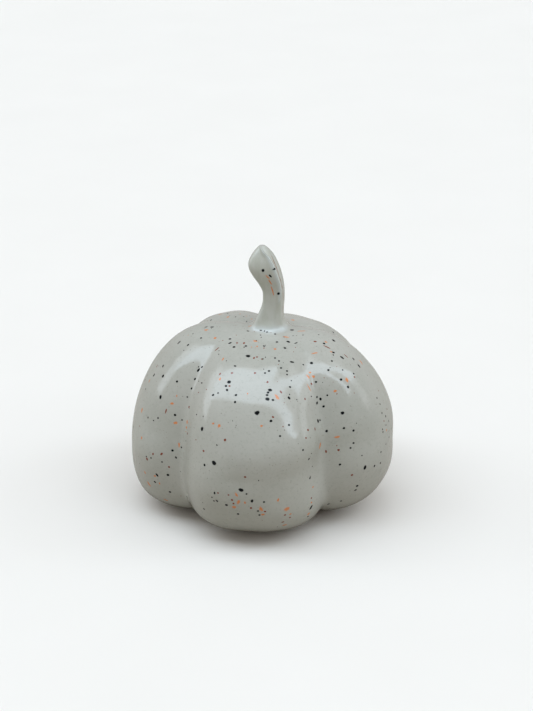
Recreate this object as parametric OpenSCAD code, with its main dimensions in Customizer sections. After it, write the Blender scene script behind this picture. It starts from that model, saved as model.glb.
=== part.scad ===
// A small closed ceramic pumpkin: a hollow body of five lobes, made of two
// pinched clay halves joined at mid height, with a rolled clay stem set on its
// crown and a glossy glaze over all but the flat foot that it stands on.
// The origin is on the vertical axis at the level of the foot, the front lobe
// faces -Y and +Z is up.

/* [Body] */
// Height of the joint between the two halves, where the lobes are widest
seam_height = 25.4; // [20:0.1:32]
// Rise of the glazed crown above the joint
crown_rise = 32.1; // [24:0.1:36]
// Depth of the glazed lobes below the joint, before the foot flattens them
belly_drop = 26.1; // [26:0.1:34]
// Wall of the clay halves, and the floor and the roof of the hollow
wall_thickness = 5; // [3:0.1:8]
// Roundness of the upper profile: 2 is an ellipse and more is squarer
upper_fullness = 2.05; // [1.9:0.05:3]
// Roundness of the lower profile
lower_fullness = 2.9; // [2:0.05:3.6]

/* [Lobes] */
// Reach of the front lobe from the axis
front_reach = 37.8; // [34:0.1:44]
// Reach of the right lobe
right_reach = 40.5; // [34:0.1:44]
// Reach of the back right lobe
back_right_reach = 40.5; // [34:0.1:44]
// Reach of the back left lobe
back_left_reach = 37.9; // [34:0.1:44]
// Reach of the left lobe
left_reach = 37.4; // [34:0.1:44]
// Direction of the groove left of the front lobe, from +X towards +Y
front_left_groove = -135; // [-140:1:-128]
// Direction of the groove right of the front lobe
front_right_groove = -54.5; // [-62:0.5:-48]
// Direction of the groove behind the right lobe
right_groove = 17; // [10:1:26]
// Direction of the groove at the back
back_groove = 90; // [82:1:98]
// Direction of the groove behind the left lobe
left_groove = 149; // [144:1:158]
// How far the left lobe hangs lower than the others
left_sag = 5.2; // [0:0.1:6]
// How far the front and the right lobe hang lower than the back ones
front_sag = 0.9; // [0:0.1:2]
// How far the left lobe bulges up on its way to the crown
left_bulge = 7.8; // [0:0.1:9]
// How far the right lobe bulges up there
right_bulge = 3.1; // [0:0.1:5]
// How far the back right lobe is flattened there
back_flat = 2.9; // [0:0.1:4]

/* [Grooves] */
// Depth of the grooves at the joint, as a share of the reach
groove_middle = 0.27; // [0.1:0.01:0.35]
// Depth of the grooves at the crown, as a share of the reach there
groove_crown = 0.12; // [0:0.01:0.2]
// Depth of the grooves at the foot, as a share of the reach there
groove_foot = 0.19; // [0:0.01:0.3]
// Sharpness of the grooves above the joint: more is narrower
groove_sharpness = 2.7; // [1.8:0.1:3]
// Sharpness of the grooves under the body
foot_sharpness = 3.1; // [1.8:0.1:3.6]
// Rounding at the very bottom of the grooves, as a share of a half lobe
groove_rounding = 0.13; // [0.04:0.01:0.2]
// How far the underside rises into the grooves beside the left lobe
left_lift = 5.2; // [0:0.1:6]
// How far the underside rises into the grooves beside the right lobe
right_lift = 1.3; // [0:0.1:6]
// How far the underside rises into the grooves beside the back lobes
back_lift = 1.5; // [0:0.1:6]
// How far the underside of the front lobe drops towards its grooves
front_drop = 1.9; // [0:0.1:4]
// How far the narrow bottom of the two front grooves is arched up under the body
front_arch = 4; // [0:0.1:6]
// How far that of the other grooves is arched up
back_arch = 2; // [0:0.1:6]
// How far the groove left of the front lobe swings to the right under the body
front_left_swing = 1.8; // [0:0.1:6]
// How far the groove right of the front lobe swings to the right there
front_right_swing = 12; // [0:0.5:14]
// How much lower the groove at the back lies halfway up to the crown
back_sink = 4.4; // [0:0.1:6]
// How much lower the two front grooves lie there
front_sink = 0.7; // [0:0.1:4]
// How much lower the grooves behind the right and the left lobe lie there
side_sink = 6.8; // [0:0.1:8]

/* [Crown] */
// Depth of the dimple that the stem stands in
dimple_depth = 2; // [0:0.1:3]
// Spread of the dimple
dimple_spread = 16.5; // [9:0.5:20]
// How far the crown leans to the right of the axis
crown_right = 3.5; // [-2:0.1:5]
// How far the crown leans towards the front
crown_front = 0.8; // [-3:0.1:3]

/* [Joints] */
// Thickness of the slip, the wet clay that joins the two halves
seam_slip_thickness = 0.8; // [0.4:0.1:2]
// Thickness of the slip under the stem
stem_slip_thickness = 0.8; // [0.4:0.1:2]
// Diameter of the pad of slip and of the flat seat that it fills
seat_diameter = 9.4; // [9:0.1:14]

/* [Vent] */
// Diameter of the hole in the foot that lets steam out when the clay is fired
vent_diameter = 4; // [2:0.1:8]

/* [Stem] */
// Height of the clay stem over its pad of slip
stem_height = 24.1; // [18:0.1:34]
// Width of the stem at its foot
stem_foot_width = 8.6; // [7:0.1:10]
// Width of the stem at its waist
stem_waist_width = 5; // [3:0.1:7]
// Width of the stem at its head
stem_head_width = 7.2; // [4:0.1:9]
// How far the stem bows to the right on its way up
stem_bow = 1.1; // [-3:0.1:3]
// How far the head hangs to the left of the foot
stem_hook = 2.2; // [-4:0.1:5]
// Squareness of the stem's section: 2 is round and more is squarer
stem_squareness = 4; // [2:0.1:5]
// Direction of the stem's front corner, from +X towards +Y
stem_corner = -56; // [-80:2:-10]

/* [Glaze] */
// Thickness of the glaze
glaze_thickness = 0.5; // [0.3:0.05:0.9]
// Slope of the lower profile where the glaze stops, in degrees of its sweep
glaze_edge = 63; // [55:1:68]
// Width of the bead of glaze that pools round the foot of the stem
pool_width = 0.9; // [0.6:0.1:1.6]

/* [Hidden] */
$fn = 48;

full_turn = 360;
groove_turns = [front_left_groove, front_right_groove, right_groove, back_groove,
                left_groove, front_left_groove + full_turn];
reaches = [front_reach, right_reach, back_right_reach, back_left_reach, left_reach];
sags = [front_sag, front_sag, 0, 0, left_sag];
lifts = [-front_drop, right_lift, back_lift, back_lift, left_lift];
bulges = [0, right_bulge, -back_flat, 0, left_bulge];
swings = [front_left_swing, front_right_swing, 0, 0, 0];
arches = [front_arch, front_arch, back_arch, back_arch, back_arch];
sinks = [front_sink, front_sink, side_sink, back_sink, side_sink];
lobes = len(reaches);

// Sections round the body, closer together near the grooves
lobe_steps = 12;
sections = lobes * lobe_steps;
// Rows of points up the profile, and where the profile stops at each end
upper_rows = 14;
lower_rows = 7;
foot_rows = 4;
crown_end = 78;
foot_end = 80;
hollow_end = 72;

seam_top = seam_height + seam_slip_thickness / 2;
seam_bottom = seam_height - seam_slip_thickness / 2;
upper_rise = crown_rise - seam_slip_thickness / 2;
lower_drop = belly_drop - seam_slip_thickness / 2;
seat_radius = seat_diameter / 2;

// Stem: sections up its height and points round each
stem_rows = 18;
stem_points = 32;
// How far up the stem its foot flare ends, its waist lies, it has hooked over,
// its head is widest and its rounded tip is cut flat
flare_end = 0.36;
waist_at = 0.4;
hook_end = 0.84;
head_at = 0.72;
tip_end = 0.985;
// Shape of the foot flare, and of the tip: 0.5 is an ellipse and more is sharper
flare_curve = 2.5;
tip_curve = 1;
// How fast the round foot takes on the stem's own section
foot_blend = 6;

// How closely the crown's lean, and the ends of the lifts, bulges, arches and
// sinks, keep to the poles
pole_hold = 8;

function mix(a, b, k) = a + (b - a) * k;
function ease(k) = k * k * (3 - 2 * k);
function clamp(k) = max(0, min(1, k));
function superpower(k, fullness) = pow(k, 2 / fullness);

// One section round the body: its direction, how far it is out of the groove
// (softened, and as a width), the reach, sag, lift and bulge of the lobe there,
// and the swing, arch and sink of the nearest groove
function section(j) =
    let (i = floor(j / lobe_steps),
         u = (1 - cos(180 * (j % lobe_steps) / lobe_steps)) / 2,
         q = 1 - abs(2 * u - 1),
         next = (u < 0.5 ? i + lobes - 1 : i + 1) % lobes,
         near = (u < 0.5 ? i : i + 1) % lobes,
         share = (1 - ease(q)) / 2)
    [mix(groove_turns[i], groove_turns[i + 1], u),
     sqrt((q * q + pow(groove_rounding, 2)) / (1 + pow(groove_rounding, 2))),
     pow(cos(90 * q), 2),
     mix(reaches[i], reaches[next], share),
     mix(sags[i], sags[next], share),
     mix(lifts[i], lifts[next], share),
     mix(bulges[i], bulges[next], share),
     swings[near], arches[near], sinks[near]];
round_body = [for (j = [0 : sections - 1]) section(j)];

// How much of a lift, a bulge, an arch or a sink there is: most of it halfway to
// the pole, and none at the joint and at the pole
function halfway(s) = s * s * (1 - pow(s, pole_hold));

// A point of the upper half: t runs from 0 at the joint to 90 at the pole and
// inset is the distance inside the glazed surface
function upper_point(g, t, inset) =
    let (s = superpower(sin(t), upper_fullness),
         c = superpower(cos(t), upper_fullness),
         cut = pow(1 - g[1], groove_sharpness),
         r = (g[3] - inset) * c * (1 - mix(groove_middle, groove_crown, s * s) * cut),
         lean = pow(s, pole_hold))
    [r * cos(g[0]) + crown_right * lean,
     r * sin(g[0]) - crown_front * lean,
     seam_top + (upper_rise - inset) * s - g[4] * c * c
         + (g[6] - g[9] * cut) * halfway(s)
         - dimple_depth * exp(-pow(r / dimple_spread, 2))];

// A point of the lower half: t runs from 0 at the joint to 90 at the foot, and
// nothing is lower than the level given
function lower_point(g, t, inset, level) =
    let (s = superpower(sin(t), lower_fullness),
         c = superpower(cos(t), lower_fullness),
         cut = pow(1 - g[1], mix(groove_sharpness, foot_sharpness, sin(t))),
         r = (g[3] - inset) * c * (1 - mix(groove_middle, groove_foot, s * s) * cut),
         turn = g[0] + g[7] * g[2] * s * s)
    [r * cos(turn), r * sin(turn),
     max(level, seam_bottom - (lower_drop - inset) * s - g[4] * c * c
         + (g[5] * g[2] + g[8] * cut) * halfway(s))];

function upper_ring(t, inset) = [for (g = round_body) upper_point(g, t, inset)];
function lower_ring(t, inset, level) = [for (g = round_body) lower_point(g, t, inset, level)];
function flattened(ring, z) = [for (p = ring) [p[0], p[1], z]];

// A circle round the stem's axis, with a point for each section of the body or
// with a number of points spaced evenly
function crown_ring(r, z) = [for (g = round_body)
    [r * cos(g[0]) + crown_right, r * sin(g[0]) - crown_front, z]];
function crown_round(points, r, z) = [for (j = [0 : points - 1])
    let (turn = full_turn * j / points)
    [r * cos(turn) + crown_right, r * sin(turn) - crown_front, z]];

// Level of the seat: that of the clay at the pole
seat_level = seam_top + upper_rise - glaze_thickness - dimple_depth;
stem_level = seat_level + stem_slip_thickness;

// Rows of rings, from the joint to the crown and from the joint to the foot
function upper_rings(inset, end) =
    [for (k = [0 : upper_rows]) upper_ring(end * k / upper_rows, inset)];
function lower_sweep(end) = concat(
    [for (k = [0 : lower_rows]) glaze_edge * k / lower_rows],
    [for (k = [1 : foot_rows]) mix(glaze_edge, end, k / foot_rows)]);
function reversed(list) = [for (k = [len(list) - 1 : -1 : 0]) list[k]];

// A closed solid through a row of rings with equal numbers of points, with a
// flat face at each end
module capped_rings(rings) {
    n = len(rings[0]);
    last = len(rings) - 1;
    sides = [for (k = [0 : last - 1], j = [0 : n - 1], half = [0, 1])
        let (a = k * n + j, b = k * n + (j + 1) % n)
        half == 0 ? [a, a + n, b + n] : [a, b + n, b]];
    start = [for (j = [0 : n - 1]) j];
    finish = [for (j = [n - 1 : -1 : 0]) last * n + j];
    polyhedron([for (ring = rings) each ring], concat([start, finish], sides));
}

// The same, with the last ring joined to the first one instead
module looped_rings(rings) {
    n = len(rings[0]);
    count = len(rings);
    polyhedron([for (ring = rings) each ring],
        [for (k = [0 : count - 1], j = [0 : n - 1], half = [0, 1])
            let (a = k * n + j, b = k * n + (j + 1) % n,
                 c = (k + 1) % count * n + j, d = (k + 1) % count * n + (j + 1) % n)
            half == 0 ? [a, c, d] : [a, d, b]]);
}

// Stem: how far its middle is to the right of its foot, and half its width, u
// of the way up
function stem_offset(u) = stem_bow * ease(clamp(u / flare_end))
    - (stem_bow + stem_hook) * ease(clamp((u - waist_at) / (hook_end - waist_at)));
function stem_half_width(u) =
    u < flare_end
        ? (stem_waist_width + (stem_foot_width - stem_waist_width)
            * pow(1 - u / flare_end, flare_curve)) / 2
    : u < head_at
        ? mix(stem_waist_width, stem_head_width,
              ease(clamp((u - waist_at) / (head_at - waist_at)))) / 2
    : stem_head_width / 2 * pow(1 - pow((u - head_at) / (1 - head_at), 2), tip_curve);
// How much further out the section lies at its corners than across its sides
function squared(turn) =
    pow(pow(abs(cos(turn)), stem_squareness) + pow(abs(sin(turn)), stem_squareness),
        -1 / stem_squareness);
function stem_ring(u, skin) = [for (j = [0 : stem_points - 1])
    let (turn = full_turn * j / stem_points,
         corner = squared(turn - stem_corner + full_turn / 8),
         r = stem_half_width(u) * mix(1, corner, clamp(u * foot_blend)) + skin)
    [crown_right + stem_offset(u) + r * cos(turn), r * sin(turn) - crown_front,
     stem_level + u * stem_height + skin * ease(u)]];
function stem_rings(skin) = [for (k = [0 : stem_rows])
    stem_ring(tip_end * sin(90 * k / stem_rows), skin)];

module lower_shell() color("tan") difference() {
    level = wall_thickness;
    inset = glaze_thickness + wall_thickness;
    outside = [for (t = lower_sweep(foot_end)) lower_ring(t, glaze_thickness, 0)];
    inside = [for (t = lower_sweep(hollow_end)) lower_ring(t, inset, level)];
    end = len(outside) - 1;
    capped_rings(concat(
        [flattened(inside[end], level)],
        [for (k = [end - 1 : -1 : 0]) inside[k]],
        [for (k = [0 : end - 1]) outside[k]],
        [flattened(outside[end], 0)]));
    translate([0, 0, -wall_thickness])
        cylinder(h = 3 * wall_thickness, d = vent_diameter);
}

module upper_shell() color("tan") {
    inset = glaze_thickness + wall_thickness;
    capped_rings(concat(
        [crown_ring(seat_radius, seat_level)],
        reversed(upper_rings(glaze_thickness, crown_end)),
        upper_rings(inset, hollow_end),
        [crown_ring(seat_radius, seat_level - wall_thickness)]));
}

// The band of slip fills the gap between the rims of the two halves
module seam_slip() color("burlywood") {
    inset = glaze_thickness + wall_thickness;
    looped_rings([upper_ring(0, glaze_thickness), lower_ring(0, glaze_thickness, 0),
                  lower_ring(0, inset, 0), upper_ring(0, inset)]);
}

module stem_slip() color("burlywood") translate([0, 0, seat_level])
    linear_extrude(stem_slip_thickness)
        polygon([for (p = crown_ring(seat_radius, 0)) [p[0], p[1]]]);

module stem() color("tan") capped_rings(reversed(stem_rings(0)));

// The glaze on the body: over the clay, up the side of the slip under the stem
// and back down, to the edge that was wiped clean above the foot
module body_glaze() color([0.80, 0.79, 0.74]) {
    under = [for (k = [lower_rows : -1 : 0])
        lower_ring(glaze_edge * k / lower_rows, glaze_thickness, 0)];
    over = [for (k = [0 : lower_rows])
        lower_ring(glaze_edge * k / lower_rows, 0, 0)];
    looped_rings(reversed(concat(
        under, upper_rings(glaze_thickness, crown_end),
        [crown_ring(seat_radius, seat_level), crown_ring(seat_radius, stem_level),
         crown_ring(seat_radius + glaze_thickness, stem_level),
         crown_ring(seat_radius + pool_width, seat_level + glaze_thickness)],
        reversed(upper_rings(0, crown_end)), over)));
}

// The glaze on the stem: closed over its tip, with a skirt at its foot that
// covers the edge of the slip and meets the glaze of the body
module stem_glaze() color([0.80, 0.79, 0.74]) capped_rings(reversed(concat(
    reversed(stem_rings(0)),
    [crown_round(stem_points, seat_radius + glaze_thickness, stem_level)],
    [for (k = [1 : stem_rows]) stem_rings(glaze_thickness)[k]])));

lower_shell();
upper_shell();
seam_slip();
stem();
stem_slip();
body_glaze();
stem_glaze();
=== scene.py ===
import math

import bpy
import numpy as np
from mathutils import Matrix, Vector
from mathutils.bvhtree import BVHTree
from mathutils.kdtree import KDTree


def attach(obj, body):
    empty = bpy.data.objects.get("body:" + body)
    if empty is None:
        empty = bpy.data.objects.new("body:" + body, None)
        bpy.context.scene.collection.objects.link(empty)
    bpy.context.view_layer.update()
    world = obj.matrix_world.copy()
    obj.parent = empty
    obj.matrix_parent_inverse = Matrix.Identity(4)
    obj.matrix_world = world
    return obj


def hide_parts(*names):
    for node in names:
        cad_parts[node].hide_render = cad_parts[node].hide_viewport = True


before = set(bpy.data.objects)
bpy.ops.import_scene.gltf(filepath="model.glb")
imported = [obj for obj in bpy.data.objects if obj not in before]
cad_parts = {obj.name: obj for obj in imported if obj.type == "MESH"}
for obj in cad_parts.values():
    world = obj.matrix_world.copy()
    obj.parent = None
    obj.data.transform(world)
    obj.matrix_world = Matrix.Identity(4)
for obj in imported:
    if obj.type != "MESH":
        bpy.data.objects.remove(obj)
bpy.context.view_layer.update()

MM = 0.001
rng = np.random.default_rng(7)

# ---------------------------------------------------------------- sizes
# The same values as in the solids, so that the glaze lies on the clay: lengths in
# mm, directions in degrees from +X, shares and exponents
SEAM_HEIGHT, CROWN_RISE, BELLY_DROP = 25.4, 32.1, 26.1
UPPER_FULLNESS, LOWER_FULLNESS = 2.05, 2.9
# Front lobe, right, back right, back left, left
REACHES = np.array([37.8, 40.5, 40.5, 37.9, 37.4])
SAGS = np.array([0.9, 0.9, 0.0, 0.0, 5.2])
LIFTS = np.array([-1.9, 1.3, 1.5, 1.5, 5.2])
BULGES = np.array([0.0, 3.1, -2.9, 0.0, 7.8])
# The grooves: front left, front right, right, back, left; directions from +X
GROOVES = np.array([-135.0, -54.5, 17.0, 90.0, 149.0])
SWINGS = np.array([1.8, 12.0, 0.0, 0.0, 0.0])
ARCHES = np.array([4.0, 4.0, 2.0, 2.0, 2.0])
SINKS = np.array([0.7, 0.7, 6.8, 4.4, 6.8])
GROOVE_MIDDLE, GROOVE_CROWN, GROOVE_FOOT = 0.27, 0.12, 0.19
GROOVE_SHARPNESS, FOOT_SHARPNESS, GROOVE_ROUNDING = 2.7, 3.1, 0.13
DIMPLE_DEPTH, DIMPLE_SPREAD = 2.0, 16.5
CROWN_RIGHT, CROWN_FRONT = 3.5, 0.8
SEAM_SLIP, STEM_SLIP, SEAT_RADIUS = 0.8, 0.8, 4.7
STEM_HEIGHT, STEM_FOOT, STEM_WAIST, STEM_HEAD = 24.1, 8.6, 5.0, 7.2
STEM_BOW, STEM_HOOK, STEM_SQUARENESS, STEM_CORNER = 1.1, 2.2, 4.0, -56.0
GLAZE, GLAZE_EDGE = 0.5, 63.0
FLARE_END, WAIST_AT, HOOK_END, HEAD_AT, TIP_END = 0.36, 0.4, 0.84, 0.72, 0.985
FLARE_CURVE, TIP_CURVE, FOOT_BLEND, POLE_HOLD = 2.5, 1.0, 6.0, 8

SEAM_TOP = SEAM_HEIGHT + SEAM_SLIP / 2
SEAM_BOTTOM = SEAM_HEIGHT - SEAM_SLIP / 2
UPPER_RISE = CROWN_RISE - SEAM_SLIP / 2
LOWER_DROP = BELLY_DROP - SEAM_SLIP / 2
SEAT_LEVEL = SEAM_TOP + UPPER_RISE - GLAZE - DIMPLE_DEPTH
STEM_LEVEL = SEAT_LEVEL + STEM_SLIP

# The glaze pools in a fillet round the stem's foot; the glaze of the body and
# that of the stem meet on this ring of it
POOL_RADIUS, POOL_LEVEL = 5.15, STEM_LEVEL + 0.4
POOL_START = 79.0        # where the fillet leaves the crown, in degrees of sweep
POOL_BRIM = (0.7, STEM_LEVEL - 0.25)    # its corner below: out from the ring, and level
POOL_BEND = 0.75         # its corner above: this far in and up from the ring
INNER_TOP = 78.0         # where the inside of the body's glaze ends, in degrees
LIP_DROP = 0.12          # how far the glaze's rim hangs below its faces, in mm

# ---------------------------------------------------------------- the camera
FRAME_WIDTH, FRAME_HEIGHT = 533, 711
PITCH = math.radians(24)
FOCAL_PX = 1700.0
DISTANCE = 495.0
AIM = Vector((2.5, 0.0, 45.75))
SENSOR = 36.0
BACK = Vector((0, -math.cos(PITCH), math.sin(PITCH)))
UP = Vector((0, math.sin(PITCH), math.cos(PITCH)))


def add_camera():
    data = bpy.data.cameras.new("camera")
    data.sensor_width = SENSOR
    data.lens = FOCAL_PX / FRAME_HEIGHT * SENSOR
    data.clip_start, data.clip_end = 0.01, 20
    camera = bpy.data.objects.new("camera", data)
    bpy.context.scene.collection.objects.link(camera)
    camera.location = (AIM + BACK * DISTANCE) * MM
    camera.rotation_mode = "QUATERNION"
    camera.rotation_quaternion = (-BACK).to_track_quat("-Z", "Y")
    bpy.context.scene.camera = camera


# ---------------------------------------------------------------- body's shape
def mix(a, b, k):
    return a + (b - a) * k


def ease(k):
    return k * k * (3 - 2 * k)


def halfway(s):
    """Most of it halfway to the pole, none at the joint and at the pole."""
    return s * s * (1 - s**POLE_HOLD)


def round_body(steps):
    """The sections round the body, closer together near the grooves."""
    j = np.arange(5 * steps)
    i = j // steps
    u = (1 - np.cos(np.pi * (j % steps) / steps)) / 2
    q = 1 - np.abs(2 * u - 1)
    beside = np.where(u < 0.5, i + 4, i + 1) % 5
    near = np.where(u < 0.5, i, i + 1) % 5
    share = (1 - ease(q)) / 2
    turns = np.append(GROOVES, GROOVES[0] + 360)
    g = {"turn": np.radians(mix(turns[i], turns[i + 1], u)),
         "crest": np.sqrt((q * q + GROOVE_ROUNDING**2) / (1 + GROOVE_ROUNDING**2)),
         "edge": np.cos(np.pi / 2 * q) ** 2,
         "swing": np.radians(SWINGS[near]), "arch": ARCHES[near], "sink": SINKS[near]}
    for name, values in (("reach", REACHES), ("sag", SAGS), ("lift", LIFTS),
                         ("bulge", BULGES)):
        g[name] = mix(values[i], values[beside], share)
    return g


def upper_ring(g, sweep, inset):
    t = math.radians(sweep)
    s = math.sin(t) ** (2 / UPPER_FULLNESS)
    c = math.cos(t) ** (2 / UPPER_FULLNESS)
    cut = (1 - g["crest"]) ** GROOVE_SHARPNESS
    r = (g["reach"] - inset) * c * (1 - mix(GROOVE_MIDDLE, GROOVE_CROWN, s * s) * cut)
    lean = s**POLE_HOLD
    z = (SEAM_TOP + (UPPER_RISE - inset) * s - g["sag"] * c * c
         + (g["bulge"] - g["sink"] * cut) * halfway(s)
         - DIMPLE_DEPTH * np.exp(-((r / DIMPLE_SPREAD) ** 2)))
    return np.stack([r * np.cos(g["turn"]) + CROWN_RIGHT * lean,
                     r * np.sin(g["turn"]) - CROWN_FRONT * lean, z], -1)


def lower_ring(g, sweep, inset):
    t = math.radians(sweep)
    s = math.sin(t) ** (2 / LOWER_FULLNESS)
    c = math.cos(t) ** (2 / LOWER_FULLNESS)
    cut = (1 - g["crest"]) ** mix(GROOVE_SHARPNESS, FOOT_SHARPNESS, math.sin(t))
    r = (g["reach"] - inset) * c * (1 - mix(GROOVE_MIDDLE, GROOVE_FOOT, s * s) * cut)
    turn = g["turn"] + g["swing"] * g["edge"] * s * s
    z = (SEAM_BOTTOM - (LOWER_DROP - inset) * s - g["sag"] * c * c
         + (g["lift"] * g["edge"] + g["arch"] * cut) * halfway(s))
    return np.stack([r * np.cos(turn), r * np.sin(turn), np.maximum(z, 0)], -1)


def crown_ring(turns, r, z):
    return np.stack([r * np.cos(turns) + CROWN_RIGHT,
                     r * np.sin(turns) - CROWN_FRONT, np.full(len(turns), z)], -1)


# At its foot the glaze of the stem runs out into fins along the two front
# corners: their directions and reaches, their width in degrees, how far up the
# stem they end as a share of its height, and how sharply they rise to the foot.
# The pool reaches further below them, by a share of their reach.
FIN_TURNS, FIN_REACHES = (-146, -50), (1.5, 0.7)
FIN_WIDTH, FIN_TOP, FIN_SHARPNESS, FIN_POOL = 20, 0.32, 1.3, 0.6
# The pool is paler and carries a painted highlight, mostly in front of the stem: the share of
# that paleness behind the stem, and how far behind the stem's middle, as a sine, the rest of it
# begins
POOL_BEHIND, POOL_SIDE = 0.1, 0.15


def turned_from(turns, degrees):
    """How far each of the turns is from a direction, in radians, by the short way."""
    return (turns - math.radians(degrees) + math.pi) % (2 * math.pi) - math.pi


def fins(turns, u):
    """How far the glaze stands out along the front corners at the foot, in mm."""
    return max(0, 1 - u / FIN_TOP) ** FIN_SHARPNESS * sum(
        reach * np.exp(-((turned_from(turns, turn) / math.radians(FIN_WIDTH)) ** 2))
        for turn, reach in zip(FIN_TURNS, FIN_REACHES))


def pool_ring(turns, further, z):
    """A ring round the stem's foot, further out than the ring of the pool."""
    return crown_ring(turns, POOL_RADIUS + FIN_POOL * fins(turns, 0) + further, z)


def curve(a, b, c, steps):
    """Rings along a quadratic curve from ring a to ring c, without a itself."""
    k = (np.arange(steps) + 1.0) / steps
    return [a * (1 - x) ** 2 + 2 * b * x * (1 - x) + c * x * x for x in k]


def in_front(turns):
    """How much of the pool's paleness and painted highlight there is: whole in front of the stem,
    less at its sides and least behind it.
    """
    return POOL_BEHIND + (1 - POOL_BEHIND) * ease(np.clip(POOL_SIDE - np.sin(turns), 0, 1))


def grid_normals(rings):
    """Outward normals of a stack of rings that goes up the body."""
    along = np.gradient(rings, axis=0)
    around = np.roll(rings, -1, axis=1) - np.roll(rings, 1, axis=1)
    n = np.cross(around, along)
    return n / np.maximum(np.linalg.norm(n, axis=2, keepdims=True), 1e-9)


# Hand-made unevenness, in mm: slow and quicker waves over the whole body, and
# the dents and bulges that thumbs left in it. It sinks by less than the glaze's
# thickness, so that no clay comes through, and swells by less than HIGHEST.
def waves(count, shortest, longest, height):
    ways = rng.normal(size=(count, 3))
    ways /= np.linalg.norm(ways, axis=1, keepdims=True)
    lengths = rng.uniform(shortest, longest, (count, 1))
    return ways * 2 * math.pi / lengths, rng.uniform(0, 2 * math.pi, count), height


WAVES = [waves(12, 18, 40, 0.045), waves(12, 7, 14, 0.011)]
DEEPEST, HIGHEST = 0.38, 1.6
END_BAND = 1 / 6         # the share of each half's rows over which it fades out
# Place, spread and depth, which is negative for a bulge
DENTS = [
    ((10, -36.5, 20.5), (7, 12, 6), 0.8), ((13, -35, 33), (10, 10, 5), -1.5),
    ((-3, -37, 31), (9, 10, 4), -0.5), ((-5, -37, 24), (5, 10, 2), 0.3),
    ((-13.5, -33, 21), (8, 9, 6), -1.5), ((-29.5, -17, 31.5), (6, 9, 4.5), 0.5),
    ((-31.5, -16, 21), (8, 9, 6), -1.2), ((20, -17.5, 48), (10, 7, 5), -0.6),
    ((29, -22, 29.5), (9, 9, 3.5), 0.35), ((31, -21.5, 22), (9, 9, 4), -0.45),
    ((33, -20, 12), (9, 9, 4), 0.3), ((38, -3, 24), (8, 9, 5), 0.35),
    ((36, 8, 34), (8, 9, 6), -0.3), ((-24, 26, 18), (9, 9, 5), 0.45),
    ((-26, 24, 29), (9, 9, 5), -0.35), ((20, 30, 16), (10, 10, 5), 0.45),
    ((18, 30, 27), (10, 10, 5), -0.35), ((-36, 6, 24), (7, 8, 6), 0.35),
]


def unevenness(points):
    d = np.zeros(points.shape[:-1])
    for ways, phases, height in WAVES:
        d += height * np.sin(points @ ways.T + phases).sum(-1)
    for place, spread, depth in DENTS:
        away = (points - np.array(place)) / np.array(spread)
        d -= depth * np.exp(-(away**2).sum(-1))
    return np.where(d < 0, DEEPEST * np.tanh(d / DEEPEST), HIGHEST * np.tanh(d / HIGHEST))


# ---------------------------------------------------------------- mesh making
SHARP_ANGLE = 50         # edges that turn by more than this, in degrees, stay sharp


def mesh_from_rings(name, rings, capped):
    """A closed mesh through rings with equal numbers of points: with an end face
    on the first and the last ring, or with the last ring joined to the first."""
    count, n = len(rings), len(rings[0])
    points = np.concatenate(rings) * MM
    j = np.arange(n)
    faces = []
    for k in range(count - 1 if capped else count):
        a, b = k * n, (k + 1) % count * n
        faces.append(np.stack([a + j, a + (j + 1) % n, b + (j + 1) % n, b + j], -1))
    faces = np.concatenate(faces).tolist()
    if capped:
        faces = [list(range(n - 1, -1, -1))] + faces
        faces.append([(count - 1) * n + k for k in range(n)])
    mesh = bpy.data.meshes.new(name)
    mesh.from_pydata(points.tolist(), [], faces)
    mesh.validate()
    mesh.shade_smooth()
    mesh.set_sharp_from_angle(angle=math.radians(SHARP_ANGLE))
    obj = bpy.data.objects.new(name, mesh)
    bpy.context.scene.collection.objects.link(obj)
    return obj


def vertex_value(obj, name, values):
    attribute = obj.data.attributes.new(name, "FLOAT", "POINT")
    attribute.data.foreach_set("value", np.asarray(values, np.float32))


LOBE_STEPS, UPPER_ROWS, LOWER_ROWS, POOL_ROWS = 64, 60, 42, 8
INNER_UPPER_ROWS, INNER_LOWER_ROWS = 16, 8
FAR_FROM_EDGE = 9.0      # the largest distance from the edge that is written, in mm


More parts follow.
